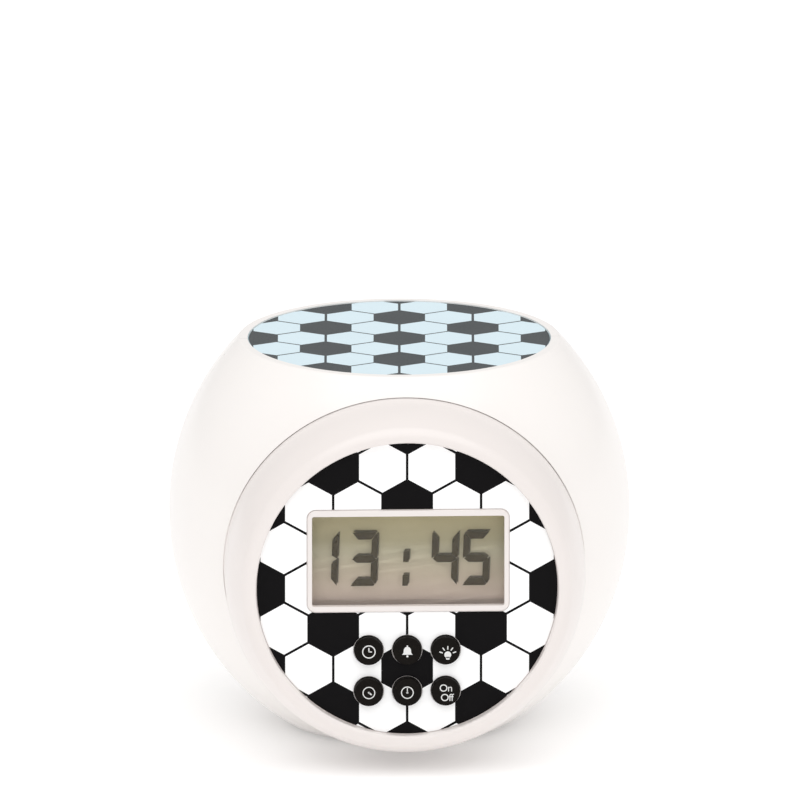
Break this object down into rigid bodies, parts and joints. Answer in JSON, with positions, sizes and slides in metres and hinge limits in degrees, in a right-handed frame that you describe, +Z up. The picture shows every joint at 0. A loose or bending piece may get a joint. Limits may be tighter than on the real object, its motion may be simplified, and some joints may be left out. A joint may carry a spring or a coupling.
{
  "type": "projection alarm clock",
  "caption": "Ball shaped alarm clock with a round ringed face, display and push buttons in front and a lit projection disc on top.",
  "frame": {"origin": "on the table under the middle of the clock's overall box, at the underside of the feet", "axes": "+Z up, -Y towards the viewer out of the face, +X to the viewer's right"},
  "size_m": [0.13, 0.1336, 0.1107],
  "materials": {
    "casing_white": "satin moulded plastic",
    "ring_white": "satin moulded plastic",
    "base_white": "fine matt moulded plastic",
    "face_print": "glossy printed sheet",
    "film_print": "printed translucent film",
    "clear_window": "clear flat window",
    "lens_clear": "clear polished disc",
    "display_glass": "thin glass sandwich",
    "display_backing": "matt reflector sheet",
    "carrier_white": "moulded plastic",
    "strip_rubber": "layered rubber",
    "board_green": "solder mask on laminate",
    "switch_black": "moulded plastic",
    "chip_black": "poured resin",
    "metal_can": "drawn can",
    "screw_steel": "plated steel",
    "foot_rubber": "soft matt rubber",
    "lamp_clear": "clear resin",
    "speaker_steel": "pressed steel",
    "speaker_paper": "pressed paper",
    "magnet_metal": "ground metal",
    "cell_jacket": "printed metal jacket",
    "contact_metal": "nickel plated",
    "button_black": "fine grained matt plastic",
    "plunger_black": "moulded plastic",
    "lead_jacket": "soft insulation"
  },
  "bodies": {
    "housing": {"front_shell": "casing_white", "rear_shell": "casing_white", "front_cover": "ring_white", "face_overlay": "face_print", "display_window": "clear_window", "lcd_glass": "display_glass", "lcd_reflector": "display_backing", "lcd_carrier": "carrier_white", "lcd_zebra_strips": "strip_rubber", "main_board": "board_green", "lamp_board": "board_green", "tact_switches": "switch_black", "board_chip": "chip_black", "board_crystal": "metal_can", "board_screws": "screw_steel", "cover_screws": "screw_steel", "shell_screws": "screw_steel", "base_screws": "screw_steel", "lamp_board_screws": "screw_steel", "base_plate": "base_white", "base_feet": "foot_rubber", "projector_led": "lamp_clear", "night_leds": "lamp_clear", "picture_film": "film_print", "projection_lens": "lens_clear", "speaker_frame": "speaker_steel", "speaker_cone": "speaker_paper", "speaker_magnet": "magnet_metal", "battery_cells": "cell_jacket", "battery_springs": "contact_metal", "battery_plates": "contact_metal", "lamp_leads": "lead_jacket", "speaker_leads": "lead_jacket", "bay_leads": "lead_jacket"},
    "time_key": {"time_button": "button_black", "time_plunger": "plunger_black"},
    "alarm_key": {"alarm_button": "button_black", "alarm_plunger": "plunger_black"},
    "light_key": {"light_button": "button_black", "light_plunger": "plunger_black"},
    "hour_key": {"hour_button": "button_black", "hour_plunger": "plunger_black"},
    "minute_key": {"minute_button": "button_black", "minute_plunger": "plunger_black"},
    "power_key": {"power_button": "button_black", "power_plunger": "plunger_black"},
    "battery_lid": {"battery_door": "casing_white", "battery_door_screw": "screw_steel"}
  },
  "joints": [
    {"name": "time_press", "type": "slide", "parent": "housing", "child": "time_key", "axis": [0, 1, 0], "range_m": [0, 0.0005], "stiffness_N_per_m": 3000},
    {"name": "alarm_press", "type": "slide", "parent": "housing", "child": "alarm_key", "axis": [0, 1, 0], "range_m": [0, 0.0005], "stiffness_N_per_m": 3000},
    {"name": "light_press", "type": "slide", "parent": "housing", "child": "light_key", "axis": [0, 1, 0], "range_m": [0, 0.0005], "stiffness_N_per_m": 3000},
    {"name": "hour_press", "type": "slide", "parent": "housing", "child": "hour_key", "axis": [0, 1, 0], "range_m": [0, 0.0005], "stiffness_N_per_m": 3000},
    {"name": "minute_press", "type": "slide", "parent": "housing", "child": "minute_key", "axis": [0, 1, 0], "range_m": [0, 0.0005], "stiffness_N_per_m": 3000},
    {"name": "power_press", "type": "slide", "parent": "housing", "child": "power_key", "axis": [0, 1, 0], "range_m": [0, 0.0005], "stiffness_N_per_m": 3000},
    {"name": "battery_lid_tip", "type": "hinge", "parent": "housing", "child": "battery_lid", "pos_m": [0, 0.05505, 0.0237], "axis": [-1, 0, 0], "range_deg": [0, 10]}
  ]
}
